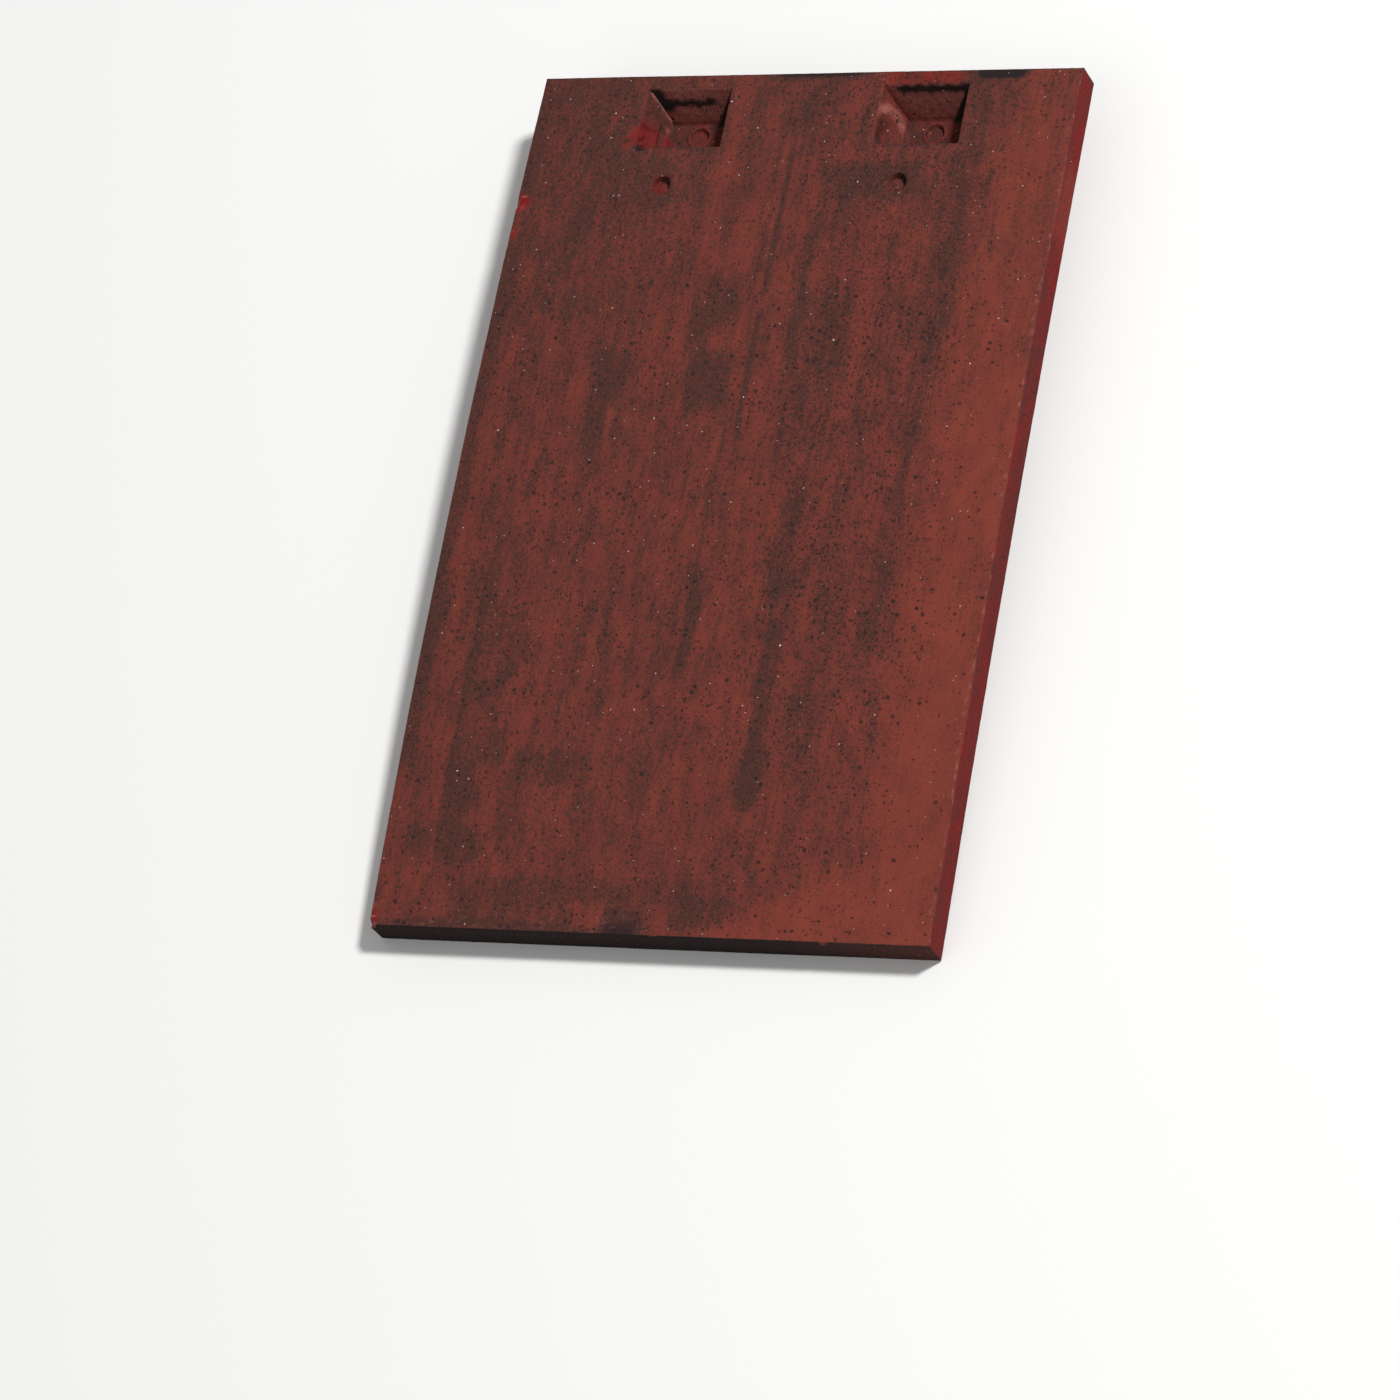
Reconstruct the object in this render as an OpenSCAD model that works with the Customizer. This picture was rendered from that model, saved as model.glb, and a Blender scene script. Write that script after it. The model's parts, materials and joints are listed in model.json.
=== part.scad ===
// Plain clay roof tile: one fired piece, a gently cambered plate with two punched nibs and two blind nail holes.
// It lies face up on a level floor, on its two nibs and its tail edge.
// +X is across the tile, +Y towards the head (the nib end), +Z up. Sizes are in millimetres.

/* [Plate] */
// Width across the tile
tile_w = 170; // [150:1:200]
// Length from the tail edge to the head edge
tile_l = 270; // [240:1:320]
// Thickness of the plate
tile_t = 10.5; // [9:0.1:15]
// Rise of the plate at mid-length above a straight line from tail to head
camber = 3.4; // [1.5:0.1:10]
// Radius of the four long arrises
arris_r = 1; // [0.3:0.1:3]

/* [Punched pockets] */
// Distance between the middles of the two pockets, and of the nibs under them
pocket_pitch = 74.5; // [60:0.5:90]
// Width of a pocket's mouth across the tile
pocket_w = 27; // [22:0.5:34]
// Length of a pocket's mouth along the tile
pocket_l = 20; // [16:0.5:26]
// Clay left between the head edge and a pocket's mouth
pocket_from_head = 5; // [4:0.5:15]
// Depth of a pocket's floor below the face
pocket_depth = 13; // [8:0.5:16]
// Slope of a pocket's two side walls, in degrees from upright
pocket_side_draft = 18; // [5:1:24]
// Slope of a pocket's wall nearest the head, in degrees from upright
pocket_head_draft = 20; // [5:1:26]
// Slope of a pocket's wall nearest the tail, in degrees from upright
pocket_tail_draft = 12; // [5:1:20]

/* [Nibs] */
// How far a nib's root stands out past its pocket's mouth on every side
nib_margin = 1; // [0.5:0.25:3]
// How far a nib stands out below the underside
nib_h = 13; // [10:0.5:18]
// Slope of a nib's two side faces, in degrees from upright
nib_side_draft = 12; // [4:1:18]
// Slope of a nib's face nearest the head, in degrees from upright
nib_head_draft = 18; // [4:1:24]
// Slope of the bearing face that hooks over the batten, in degrees from upright
nib_bearing_draft = 4; // [1:0.5:8]
// Radius of a nib's two lower corners, seen from the tail
nib_corner_r = 3; // [1:0.5:5]

/* [Nail holes] */
// Diameter of a nail hole
hole_d = 5.6; // [4:0.1:8]
// Depth of a nail hole, which is punched part way and is broken through where a nail is needed
hole_depth = 2.2; // [1:0.1:8]
// Distance between the two nail holes
hole_pitch = 74; // [60:0.5:90]
// Distance from the head edge to the middles of the nail holes
hole_from_head = 37.6; // [34:0.2:60]
// How far both holes sit to one side of the tile's centre line
hole_offset = -2.8; // [-6:0.2:6]

/* [Hidden] */

// Facets in a full turn of the camber's large circle, and of the small round features
camber_fn = 7200;
round_fn = 48;
// How far cutting shapes run past the faces that they cut
overcut = 2;
// How far corner rounds swell past the flats beside them, so that their outlines cross cleanly
swell = 0.002;

// Camber: the underside is an arc of this radius, and the face is a concentric arc
under_r = (pow(tile_l / 2, 2) + pow(camber, 2)) / (2 * camber);
// Half the angle that the underside's arc covers
half_arc = asin(tile_l / 2 / under_r);
// Height of the face above the lower edge, at the plate's two ends
end_h = sqrt(pow(under_r + tile_t, 2) - pow(tile_l / 2, 2)) + camber - under_r;

// Root of a nib, and the middle of the pocket and nib, measured from the head edge
nib_w = pocket_w + 2 * nib_margin;
nib_l = pocket_l + 2 * nib_margin;
nib_from_head = pocket_from_head + pocket_l / 2;

// The nib's lowest edge, on its own local axes: along the tile, then up from the underside
nib_toe = [-nib_l / 2 + nib_h * tan(nib_bearing_draft), -nib_h];
// The same edge on the plate's axes, and the slope at which the tile lies on it and on its tail edge
toe_y = nib_toe[0] * cos(arc_angle(nib_from_head)) + (under_r + nib_toe[1]) * sin(arc_angle(nib_from_head));
toe_z = (under_r + nib_toe[1]) * cos(arc_angle(nib_from_head)) - nib_toe[0] * sin(arc_angle(nib_from_head))
    + camber - under_r;
lie_angle = atan2(-toe_z, toe_y + tile_l / 2);

// Angle round the camber's circle of a place that is measured from the head edge along the underside
function arc_angle(from_head) = half_arc - from_head / under_r * 180 / PI;

// Puts children on the underside at a distance from the head edge, with +Z square to the plate there
module on_underside(from_head) {
    translate([0, 0, camber - under_r])
        rotate([-arc_angle(from_head), 0, 0])
            translate([0, 0, under_r])
                children();
}

// Lays the plate on its nibs and tail edge, with the middle of its outline over the origin
module laid() {
    translate([0, end_h * sin(lie_angle) / 2, tile_l / 2 * sin(lie_angle)])
        rotate([lie_angle, 0, 0])
            children();
}

// Section across the plate, thickness along x and width along y, with rounded long arrises
module plate_section() {
    translate([arris_r, 0]) square([tile_t - 2 * arris_r, tile_w]);
    translate([0, arris_r]) square([tile_t, tile_w - 2 * arris_r]);
    for (x = [arris_r, tile_t - arris_r], y = [arris_r, tile_w - arris_r])
        translate([x, y]) circle(r = arris_r, $fn = round_fn);
}

// The cambered plate, swept a little past its ends and then cut square to length
module plate() {
    sweep = 2 * half_arc + 2 * overcut / under_r * 180 / PI;
    intersection() {
        translate([0, 0, camber - under_r])
            rotate([0, -90, 0])
                rotate([0, 0, -sweep / 2])
                    rotate_extrude(angle = sweep, $fn = camber_fn)
                        translate([under_r, -tile_w / 2])
                            plate_section();
        translate([-tile_w / 2 - overcut, -tile_l / 2, -overcut])
            cube([tile_w + 2 * overcut, tile_l, tile_t + camber + 2 * overcut]);
    }
}

// Block that narrows downwards from z = 0: its shape from the tail, crossed with its shape from the side
module tapered_block(w, l, h, head_draft, tail_draft) {
    intersection() {
        rotate([90, 0, 0])
            linear_extrude(height = l, center = true)
                children();
        rotate([90, 0, 90])
            linear_extrude(height = w, center = true)
                polygon([
                    [-l / 2, 0],
                    [l / 2, 0],
                    [l / 2 - h * tan(head_draft), -h],
                    [-l / 2 + h * tan(tail_draft), -h]
                ]);
    }
}

// Shape of a nib from the tail: drafted sides and two rounded lower corners
module nib_profile() {
    tip = nib_w / 2 - nib_h * tan(nib_side_draft);
    reach = nib_corner_r * tan(45 - nib_side_draft / 2);
    polygon([
        [-nib_w / 2, 0],
        [nib_w / 2, 0],
        [tip + reach * sin(nib_side_draft), -nib_h + reach * cos(nib_side_draft)],
        [tip - reach, -nib_h],
        [reach - tip, -nib_h],
        [-tip - reach * sin(nib_side_draft), -nib_h + reach * cos(nib_side_draft)]
    ]);
    for (side = [-1, 1])
        translate([side * (tip - reach), nib_corner_r - nib_h])
            circle(r = nib_corner_r + swell, $fn = round_fn);
}

// Nib under the plate, with a root that runs up inside it
module nib() {
    tapered_block(nib_w, nib_l, nib_h, nib_head_draft, nib_bearing_draft)
        nib_profile();
    root_h = tile_t / 2;
    translate([-nib_w / 2, -nib_l / 2, 0])
        cube([nib_w, nib_l, root_h]);
}

// Shape of a pocket from the tail, with its mouth at y = 0
module pocket_profile() {
    floor_half = pocket_w / 2 - pocket_depth * tan(pocket_side_draft);
    polygon([
        [-pocket_w / 2, 0],
        [pocket_w / 2, 0],
        [floor_half, -pocket_depth],
        [-floor_half, -pocket_depth]
    ]);
}

// Pocket that the punch leaves in the face, with its mouth at z = 0
module pocket() {
    tapered_block(pocket_w, pocket_l, pocket_depth, pocket_head_draft, pocket_tail_draft)
        pocket_profile();
    translate([-pocket_w / 2, -pocket_l / 2, 0])
        cube([pocket_w, pocket_l, overcut]);
}

// Nail hole, punched square into the face, with its mouth at z = 0
module nail_hole() {
    translate([0, 0, -hole_depth])
        cylinder(d = hole_d, h = hole_depth + overcut, $fn = round_fn);
}

// The whole tile as it was fired
module tile() {
    color([0.44, 0.19, 0.165])
        laid()
            difference() {
                union() {
                    plate();
                    on_underside(nib_from_head)
                        for (side = [-1, 1])
                            translate([side * pocket_pitch / 2, 0, 0]) nib();
                }
                on_underside(nib_from_head)
                    for (side = [-1, 1])
                        translate([side * pocket_pitch / 2, 0, tile_t]) pocket();
                on_underside(hole_from_head)
                    for (side = [-1, 1])
                        translate([side * hole_pitch / 2 + hole_offset, 0, tile_t]) nail_hole();
            }
}

tile();
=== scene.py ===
"""A flat clay roof tile, smoke-flashed along its length, on a pale floor.

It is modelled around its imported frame: shaped flat, then bent to its camber and laid down. Flat places are
in metres: x across the tile, y along its underside towards the head, both from its middle, and z up from
the underside.
"""

import json
import logging
import math
from dataclasses import dataclass, field
from enum import Enum
from typing import Iterable, NamedTuple, Sequence

import bmesh
import bpy
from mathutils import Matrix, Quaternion, Vector, noise

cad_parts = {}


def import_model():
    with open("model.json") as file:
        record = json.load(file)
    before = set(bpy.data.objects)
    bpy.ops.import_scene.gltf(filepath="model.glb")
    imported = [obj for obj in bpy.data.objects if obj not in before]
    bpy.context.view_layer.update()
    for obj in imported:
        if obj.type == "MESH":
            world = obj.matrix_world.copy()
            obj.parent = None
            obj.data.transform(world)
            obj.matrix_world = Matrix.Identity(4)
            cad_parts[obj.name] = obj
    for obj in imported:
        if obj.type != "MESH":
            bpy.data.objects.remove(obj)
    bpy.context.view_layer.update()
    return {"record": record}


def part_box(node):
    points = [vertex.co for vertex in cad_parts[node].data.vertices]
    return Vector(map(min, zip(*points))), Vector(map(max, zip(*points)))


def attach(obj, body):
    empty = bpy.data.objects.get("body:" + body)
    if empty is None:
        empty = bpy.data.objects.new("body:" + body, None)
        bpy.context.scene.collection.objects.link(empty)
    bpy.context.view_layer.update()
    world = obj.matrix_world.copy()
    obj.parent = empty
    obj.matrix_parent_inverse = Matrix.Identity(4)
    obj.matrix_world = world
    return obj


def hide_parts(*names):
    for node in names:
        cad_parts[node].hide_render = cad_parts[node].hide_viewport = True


MM = 0.001
LOG = logging.getLogger("roof_tile")

Triple = tuple[float, float, float]
Colour = Triple
BMesh = bmesh.types.BMesh
BMFace = bmesh.types.BMFace
BMVert = bmesh.types.BMVert
NodeTree = bpy.types.NodeTree
Socket = bpy.types.NodeSocket

# How close to a level a face's middle counts as on it, and how squarely a level face looks up or down
NEAR = 0.1 * MM
LEVEL = 0.9
# How far past the flat face's outline a place counts as on a side or an end
HAIR = 0.05 * MM


class Part(Enum):
    """Surfaces of the tile that are painted and worn in different ways."""

    FACE = 0
    POCKET = 1
    UNDERSIDE = 2
    LONG_SIDE = 3
    HEAD_END = 4
    TAIL_END = 5
    BORE = 6


class Hand(Enum):
    """The two sides of the tile, as the sign of x."""

    LEFT = -1
    RIGHT = 1


class FiringAndPaintedLight(NamedTuple):
    """How the fire and later wear have coloured a place, with painted shade and light in places, each from 0
    to about 1.
    """

    # smoke also holds painted shade and painted shadows, near black past 1, and scuff also holds painted
    # light.
    smoke: float
    clean: float
    specks: float
    bare: float = 0.0
    scuff: float = 0.0


def display(red: int, green: int, blue: int) -> Colour:
    """Turn a colour as seen on screen into the linear values that shaders take.

    Args:
        red: Red from 0 to 255.
        green: Green from 0 to 255.
        blue: Blue from 0 to 255.

    Returns:
        The linear colour.
    """
    shares = [value / 255 for value in (red, green, blue)]
    linear = [s / 12.92 if s <= 0.04045 else ((s + 0.055) / 1.055) ** 2.4 for s in shares]
    return linear[0], linear[1], linear[2]


def step_between(low: float, high: float, value: float) -> float:
    """Return a share that rises smoothly from 0, where the value is low, to 1, where it is high."""
    share = min(1.0, max(0.0, (value - low) / (high - low)))
    return share * share * (3 - 2 * share)


def hump(distance: float, reach: float) -> float:
    """Return 1 at no distance, falling smoothly to 0 at the reach."""
    return 1 - step_between(0.0, reach, abs(distance))


def band(rise: tuple[float, float], fall: tuple[float, float], value: float) -> float:
    """Return 1 inside a band, with a smooth rise at its start and a smooth fall at its end."""
    return step_between(*rise, value) * (1 - step_between(*fall, value))


def ripple(x: float, y: float, z: float) -> float:
    """Return smooth noise from about -1 to 1 at a place."""
    return noise.noise(Vector((x, y, z)))


def divided(marks: Sequence[float], pitches: Sequence[float]) -> list[float]:
    """Divide a ruler that has to have a line at every mark.

    Args:
        marks: Places that get a line, in rising order.
        pitches: Wanted spacing of the lines between each mark and the next.

    Returns:
        All the lines, in rising order.
    """
    lines = [marks[0]]
    for low, high, pitch in zip(marks, marks[1:], pitches):
        count = max(1, round((high - low) / pitch))
        lines += [low + (high - low) * number / count for number in range(1, count + 1)]
    return lines


def extrude_region(bm: BMesh, faces: list[BMFace]) -> list[BMFace]:
    """Extrude joined faces in place and drop the faces that they leave behind.

    Args:
        bm: Mesh that is shaped.
        faces: Faces to extrude.

    Returns:
        The extruded faces, still where the old ones were.
    """
    made = bmesh.ops.extrude_face_region(bm, geom=faces)["geom"]
    behind = [face for face in faces if face.is_valid]
    if behind:
        bmesh.ops.delete(bm, geom=behind, context="FACES")
    return [item for item in made if isinstance(item, BMFace)]


def corners_of(faces: Iterable[BMFace]) -> list[BMVert]:
    """Return the vertices of some faces, each once, in a steady order."""
    return list(dict.fromkeys(vert for face in faces for vert in face.verts))


@dataclass(frozen=True)
class Rect:
    """An upright rectangle on the flat tile."""

    left: float
    right: float
    tail: float
    head: float

    def holds(self, place: Vector) -> bool:
        """Say whether a place is inside the rectangle."""
        return self.left < place.x < self.right and self.tail < place.y < self.head

    def shrunk(self, side: float, tail: float, head: float) -> "Rect":
        """Return the rectangle with its sides, tail and head drawn in."""
        return Rect(self.left + side, self.right - side, self.tail + tail, self.head - head)

    def moved_to(self, other: "Rect", place: Vector) -> tuple[float, float]:
        """Find where a place in this rectangle goes when it is stretched onto another.

        Args:
            other: Rectangle that this one is stretched onto.
            place: Place in this rectangle.

        Returns:
            The new x and y.
        """
        across = (place.x - self.left) / (self.right - self.left)
        along = (place.y - self.tail) / (self.head - self.tail)
        return (
            other.left + across * (other.right - other.left),
            other.tail + along * (other.head - other.tail),
        )


def level_faces(bm: BMesh, zone: Rect, height: float, way: int) -> list[BMFace]:
    """Find the level faces inside a rectangle at a height.

    Args:
        bm: Mesh that is shaped.
        zone: Rectangle that the faces' middles are in.
        height: Height of the faces.
        way: 1 for faces that look up, -1 for faces that look down.

    Returns:
        The faces.
    """
    found = []
    for face in bm.faces:
        middle = face.calc_center_median()
        if way * face.normal.z > LEVEL and abs(middle.z - height) < NEAR and zone.holds(middle):
            found.append(face)
    return found


def extrude_rings(
    bm: BMesh, faces: list[BMFace], start: Rect, rings: Iterable[tuple[Rect, float]]
) -> None:
    """Extrude faces through a row of rings.

    Args:
        bm: Mesh that is shaped.
        faces: Faces to extrude.
        start: Outline of the faces.
        rings: Outline and height of each ring in turn.
    """
    for ring, height in rings:
        faces = extrude_region(bm, faces)
        for vert in corners_of(faces):
            x, y = start.moved_to(ring, vert.co)
            vert.co = (x, y, height)
        start = ring


@dataclass
class Plate:
    """The cambered plate of the tile."""

    width: float
    length: float = 270 * MM
    thickness: float = 10.5 * MM
    camber: float = 3.4 * MM
    lie: float = math.radians(2.7696)
    laid_y: float = 0.254 * MM
    laid_z: float = 6.523 * MM
    arris: float = 0.6 * MM
    side_bow: float = 0.45 * MM
    side_rings: int = 11
    arc_steps: int = 3
    square_reach: float = 4 * MM

    @property
    def under_radius(self) -> float:
        """Radius of the underside's arc."""
        return ((self.length / 2) ** 2 + self.camber**2) / (2 * self.camber)

    @property
    def half_length(self) -> float:
        """Half of the underside's length, measured along its arc."""
        return self.under_radius * math.asin(self.length / 2 / self.under_radius)

    @property
    def end_lean(self) -> float:
        """How much shorter the face is than the underside at each end, because the ends are cut square."""
        face_radius = self.under_radius + self.thickness
        return self.half_length - self.under_radius * math.asin(self.length / 2 / face_radius)

    @property
    def inner(self) -> Rect:
        """Outline of the flat part of the face, inside its rounded arrises."""
        half_width = self.width / 2 - self.arris
        half_length = self.half_length - self.arris
        return Rect(-half_width, half_width, -half_length, half_length)

    def from_head(self, distance: float) -> float:
        """Return the y of a place that is measured from the head edge."""
        return self.half_length - distance

    def grid(self, bm: BMesh, columns: list[float], rows: list[float]) -> None:
        """Make the flat plate: a ruled grid for the face, extruded down to its underside.

        Args:
            bm: Mesh that is shaped.
            columns: Places of the grid's lines across the tile.
            rows: Places of the grid's lines along the tile.
        """
        across = len(columns) - 1
        along = len(rows) - 1
        bmesh.ops.create_grid(bm, x_segments=across, y_segments=along, size=1.0)
        for vert in bm.verts:
            column = round((vert.co.x + 1) / 2 * across)
            row = round((vert.co.y + 1) / 2 * along)
            vert.co = (columns[column], rows[row], 0.0)
        made = bmesh.ops.extrude_face_region(bm, geom=list(bm.faces))["geom"]
        raised = [item for item in made if isinstance(item, BMVert)]
        bmesh.ops.translate(bm, verts=raised, vec=(0, 0, self.thickness))
        self.round_rim(bm)

    def round_rim(self, bm: BMesh) -> None:
        """Divide the upright edges into rings, and push the rings out into sides with rounded arrises.

        Args:
            bm: Mesh that is shaped.
        """
        upright = [e for e in bm.edges if abs(e.verts[0].co.z - e.verts[1].co.z) > self.thickness / 2]
        made = bmesh.ops.subdivide_edges(bm, edges=upright, cuts=self.side_rings, use_grid_fill=True)
        rings = [item for item in made["geom_inner"] if isinstance(item, BMVert)]
        for vert in rings:
            number = round(vert.co.z / self.thickness * (self.side_rings + 1))
            out, height = self.ring(number)
            inner = self.inner
            grown = Rect(inner.left - out, inner.right + out, inner.tail - out, inner.head + out)
            x, y = inner.moved_to(grown, vert.co)
            vert.co = (x, y, height)

    def ring(self, number: int) -> tuple[float, float]:
        """Find how far out and how high a ring of the plate's side is.

        Args:
            number: The ring's number, from 0 on the underside to side_rings + 1 on the face.

        Returns:
            The distance out from the flat part's outline, and the height.
        """
        upper = self.side_rings + 1 - number
        if number <= self.arc_steps:
            angle = number / self.arc_steps * math.pi / 2
            return self.arris * math.sin(angle), self.arris * (1 - math.cos(angle))
        if upper <= self.arc_steps:
            angle = upper / self.arc_steps * math.pi / 2
            return self.arris * math.sin(angle), self.thickness - self.arris * (1 - math.cos(angle))
        share = (number - self.arc_steps) / (self.side_rings + 1 - 2 * self.arc_steps)
        return self.arris, self.arris + share * (self.thickness - 2 * self.arris)

    def laid(self, place: Vector) -> Vector:
        """Bend a flat place to the camber and lay the tile down.

        Args:
            place: Place on the flat tile.

        Returns:
            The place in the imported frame.
        """
        bow = self.side_bow * (place.y / self.half_length) ** 2
        x = place.x * (1 - bow / (self.width / 2))
        near_end = step_between(self.half_length - self.square_reach, self.half_length, abs(place.y))
        height_share = min(1.0, max(0.0, place.z / self.thickness))
        y = place.y - math.copysign(self.end_lean * near_end * height_share, place.y)
        angle = y / self.under_radius - self.lie
        reach = self.under_radius + place.z
        hub = self.under_radius - self.camber
        return Vector((
            x,
            hub * math.sin(self.lie) + self.laid_y + reach * math.sin(angle),
            reach * math.cos(angle) - hub * math.cos(self.lie) + self.laid_z,
        ))


@dataclass
class Nib:
    """A nib under the head, which hooks over a batten."""

    root: Rect
    height: float = 13 * MM
    side_draft: float = math.radians(12)
    head_draft: float = math.radians(18)
    bearing_draft: float = math.radians(4)
    corner: float = 3 * MM
    corner_share: float = 0.8
    edge: float = 1.2 * MM
    rings: int = 13
    crowding: float = 0.35

    def rounding(self, depth: float, radius: float) -> float:
        """Return how far a rounded lower edge draws in at a depth."""
        past = max(0.0, depth - (self.height - radius))
        return radius - math.sqrt(max(0.0, radius**2 - past**2))

    def at_depth(self, depth: float) -> Rect:
        """Return the nib's outline at a depth below its root."""
        return self.root.shrunk(
            depth * math.tan(self.side_draft) + self.rounding(depth, self.corner) * self.corner_share,
            depth * math.tan(self.bearing_draft) + self.rounding(depth, self.edge),
            depth * math.tan(self.head_draft) + self.rounding(depth, self.edge),
        )

    def build(self, bm: BMesh, under_z: float) -> None:
        """Extrude the nib out of the plate's underside, with its rings closer together near the toe.

        Args:
            bm: Mesh that is shaped.
            under_z: Height of the underside.
        """
        rings = []
        for number in range(1, self.rings + 1):
            angle = number / self.rings * math.pi / 2
            even = (1 - self.crowding) * number / self.rings
            depth = self.height * (self.crowding * math.sin(angle) + even)
            rings.append((self.at_depth(depth), under_z - depth))
        extrude_rings(bm, level_faces(bm, self.root, under_z, -1), self.root, rings)


@dataclass
class Pocket:
    """The pocket that a nib's punch leaves in the face."""

    hand: Hand
    mouth: Rect
    depth: float = 13 * MM
    side_draft: float = math.radians(18)
    head_draft: float = math.radians(20)
    tail_draft: float = math.radians(12)
    rim: float = 0.5 * MM
    rings: int = 18
    crowding: float = 0.12
    punch_mark: float = 2.9 * MM
    mark_depth: float = 1.1 * MM
    mark_from_head: float = 9.1 * MM

    @property
    def mark_place(self) -> tuple[float, float]:
        """Middle of the round mark that the punch leaves on the floor."""
        return (self.mouth.left + self.mouth.right) / 2, self.mouth.head - self.mark_from_head

    def at_depth(self, depth: float) -> Rect:
        """Return the pocket's outline at a depth."""
        lip = self.rim - math.sqrt(max(0.0, self.rim**2 - max(0.0, self.rim - depth) ** 2))
        return self.mouth.shrunk(
            depth * math.tan(self.side_draft) - lip,
            depth * math.tan(self.tail_draft) - lip,
            depth * math.tan(self.head_draft) - lip,
        )

    def build(self, bm: BMesh, face_z: float) -> None:
        """Divide the mouth finely and press it down, with the rings closer together near the face.

        Args:
            bm: Mesh that is shaped.
            face_z: Height of the face.
        """
        faces = level_faces(bm, self.mouth, face_z, 1)
        edges = list(dict.fromkeys(edge for face in faces for edge in face.edges))
        bmesh.ops.subdivide_edges(bm, edges=edges, cuts=1, use_grid_fill=True)
        rings = []
        for number in range(1, self.rings + 1):
            share = number / self.rings
            depth = self.depth * (self.crowding * share * share + (1 - self.crowding) * share)
            rings.append((self.at_depth(depth), face_z - depth))
        extrude_rings(bm, level_faces(bm, self.mouth, face_z, 1), self.mouth, rings)

    def local(self, place: Vector, face_z: float) -> Triple:
        """Return a place's millimetres from the mouth's left side, from its head side and below the face."""
        return (
            (place.x - self.mouth.left) / MM,
            (self.mouth.head - place.y) / MM,
            (face_z - place.z) / MM,
        )

    def sculpted(self, place: Vector, face_z: float) -> Vector:
        """Press the punch mark into the floor, and push lips, hollows and burrs into the walls.

        Args:
            place: Place on the pocket's wall or floor.
            face_z: Height of the face.

        Returns:
            The place after sculpting.
        """
        across, along, down = self.local(place, face_z)
        moved = place.copy()
        mark_x, mark_y = self.mark_place
        if down > self.depth / MM - 0.3:
            gap = math.hypot(place.x - mark_x, place.y - mark_y)
            moved.z -= self.mark_depth * (1 - step_between(self.punch_mark * 0.85, self.punch_mark, gap))
            moved.z += 0.3 * MM * hump(gap - self.punch_mark * 1.15, 0.6 * MM)
            return moved
        wall = step_between(0.3, 1.2, down) * hump(across - down * math.tan(self.side_draft), 2.2)
        if wall == 0:
            return moved
        if self.hand is Hand.RIGHT:
            dish = hump(along - 13.6, 6.6) * hump(down - 5.6, 5.2)
            corner = hump(along - 5.4, 2.2) * step_between(2.0, 5.0, down)
            foot = hump(down - 12.0, 1.8) * step_between(4.0, 6.0, along)
            moved.x += wall * (0.8 * max(corner, foot) - 1.7 * dish) * MM
            moved.z -= wall * 0.5 * dish * MM
            return moved
        tear = self.torn(across, along) * (1 - step_between(4.0, 7.5, down))
        groove = hump(down - 9.2, 1.1) * band((6.8, 8.4), (13.2, 15.0), along)
        burr = hump(down - 11.2, 1.4) * band((6.4, 7.6), (15.5, 18.0), along)
        fin = self.fin(along, down) * (1 - step_between(11.0, 12.5, down))
        moved.x += wall * (0.9 * burr - 1.6 * groove + 0.9 * fin) * MM
        moved.x -= wall * tear * (0.7 + 1.1 * ripple(across * 0.7, along * 0.6, down * 0.8)) * MM
        moved.z -= wall * tear * (0.3 + 0.6 * ripple(across * 0.5, along * 0.7, 4.0)) * MM
        return moved

    def fin(self, along: float, down: float) -> float:
        """Return how near a place is, from 0 to 1, to the thin line of clay beside the head wall."""
        return hump(along - down * math.tan(self.head_draft) - 0.5, 0.7)

    def torn(self, across: float, along: float) -> float:
        """Find how torn the clay is round the left pocket's left side.

        Args:
            across: Millimetres from the mouth's left side.
            along: Millimetres from the mouth's head side.

        Returns:
            A share from 0 to 1.
        """
        if self.hand is Hand.RIGHT:
            return 0.0
        ragged = 1.2 * ripple(across * 0.5, along * 0.5, 2.0)
        start = 10.5 - min(0.0, across)
        reach = band((start, start + 2.0), (19.0, 21.0), along + ragged)
        return reach * step_between(-6.5, -3.5, across + ragged)


@dataclass
class NailHole:
    """A blind nail hole, punched part way into the face."""

    x: float
    y: float
    radius: float
    depth: float
    patch: float = 4 * MM
    patch_cells: int = 12
    rings: int = 6
    flare: float = 0.3 * MM
    taper: float = 0.35 * MM
    dome: float = 0.35 * MM

    @property
    def zone(self) -> Rect:
        """Square patch of the grid that the hole is punched into."""
        return Rect(self.x - self.patch, self.x + self.patch, self.y - self.patch, self.y + self.patch)

    def holds(self, place: Vector, face_z: float) -> bool:
        """Say whether a place is on the hole's wall or floor."""
        gap = math.hypot(place.x - self.x, place.y - self.y)
        return gap < self.radius + self.flare and place.z > face_z - self.depth - MM

    def build(self, bm: BMesh, face_z: float) -> None:
        """Round off the patch and press it down, ring by ring, to a slightly domed floor.

        Args:
            bm: Mesh that is shaped.
            face_z: Height of the face.
        """
        faces = level_faces(bm, self.zone, face_z, 1)
        last = 0.0
        for number in range(self.rings + 1):
            faces = extrude_region(bm, faces)
            share = number / self.rings
            radius = self.radius + self.flare * (1 - share) ** 3 - self.taper * share
            for vert in corners_of(faces):
                if number == 0:
                    x, y = self.rounded(vert.co, radius)
                else:
                    x = self.x + (vert.co.x - self.x) * radius / last
                    y = self.y + (vert.co.y - self.y) * radius / last
                vert.co = (x, y, face_z - self.depth * share)
            last = radius
        for vert in corners_of(faces):
            gap = math.hypot(vert.co.x - self.x, vert.co.y - self.y)
            vert.co.z += self.dome * hump(gap, self.radius)

    def rounded(self, place: Vector, radius: float) -> tuple[float, float]:
        """Move a place of the square patch onto a disc.

        Args:
            place: Place in the patch.
            radius: Radius of the disc.

        Returns:
            The new x and y.
        """
        x = place.x - self.x
        y = place.y - self.y
        gap = math.hypot(x, y)
        if gap == 0:
            return self.x, self.y
        reach = max(abs(x), abs(y)) / self.patch * radius / gap
        return self.x + x * reach, self.y + y * reach


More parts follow.
